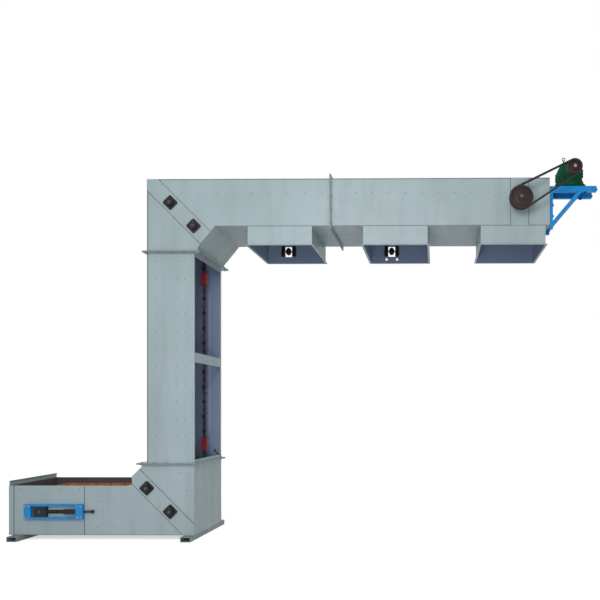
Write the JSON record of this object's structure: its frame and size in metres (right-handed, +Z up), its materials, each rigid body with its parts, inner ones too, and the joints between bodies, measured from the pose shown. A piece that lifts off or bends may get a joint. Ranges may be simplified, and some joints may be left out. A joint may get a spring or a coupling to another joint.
{
  "type": "bucket elevator",
  "caption": "Z-shaped chain bucket elevator in a painted sheet casing, fed at a low open leg and emptied through hoppers under its upper leg, with a belt drive at the head",
  "frame": {"origin": "underside of the corner foot, at its middle", "axes": "+Z up, +X along the upper leg towards the head, +Y from the belt drive's side to the far side"},
  "size_m": [5.877, 1.018, 3.8022],
  "materials": {
    "casing_paint": "satin",
    "foot_paint": "satin",
    "bearing_iron": "semi-gloss black",
    "shaft_steel": "oiled",
    "chain_steel": "greasy dark",
    "bucket_plastic": "satin orange",
    "shoe_plastic": "satin red",
    "blue_paint": "satin",
    "green_paint": "gloss",
    "pulley_iron": "dark red-brown",
    "belt_rubber": "matt"
  },
  "bodies": {
    "root": {"tail_end_plate": "casing_paint", "lower_front_panel": "casing_paint", "lower_back_panel": "casing_paint", "lower_bottom_plate": "casing_paint", "lower_throat_plate": "casing_paint", "leg_front_panel": "casing_paint", "leg_back_panel": "casing_paint", "leg_left_panel": "casing_paint", "leg_window_frame": "casing_paint", "lower_flange": "casing_paint", "upper_flange": "casing_paint", "upper_front_panel": "casing_paint", "upper_back_panel": "casing_paint", "upper_cover_plate": "casing_paint", "upper_bottom_plate": "casing_paint", "joint_flange": "casing_paint", "head_front_panel": "casing_paint", "head_back_panel": "casing_paint", "head_cover_plate": "casing_paint", "head_floor_plates": "casing_paint", "hopper_1": "casing_paint", "hopper_2": "casing_paint", "hopper_3": "casing_paint", "elbow_strips": "casing_paint", "head_strips": "casing_paint", "guide_rails": "casing_paint", "corner_foot": "foot_paint", "tail_foot": "foot_paint", "elbow_bearings": "bearing_iron", "head_bearings": "bearing_iron", "tipper_stations": "bearing_iron", "takeup_blocks": "bearing_iron", "tail_shaft": "shaft_steel", "boot_outer_shaft": "shaft_steel", "boot_inner_shaft": "shaft_steel", "top_outer_shaft": "shaft_steel", "top_inner_shaft": "shaft_steel", "head_shaft": "shaft_steel", "chain_tail": "chain_steel", "chain_rising": "chain_steel", "chain_head": "chain_steel", "chain_return": "chain_steel", "buckets_lower": "bucket_plastic", "buckets_rising": "bucket_plastic", "buckets_upper": "bucket_plastic", "guide_shoes": "shoe_plastic", "takeup_frames": "blue_paint", "motor_bracket": "blue_paint", "gear_motor": "green_paint", "head_pulley": "pulley_iron", "drive_pulley": "pulley_iron", "drive_belt": "belt_rubber"}
  },
  "joints": []
}
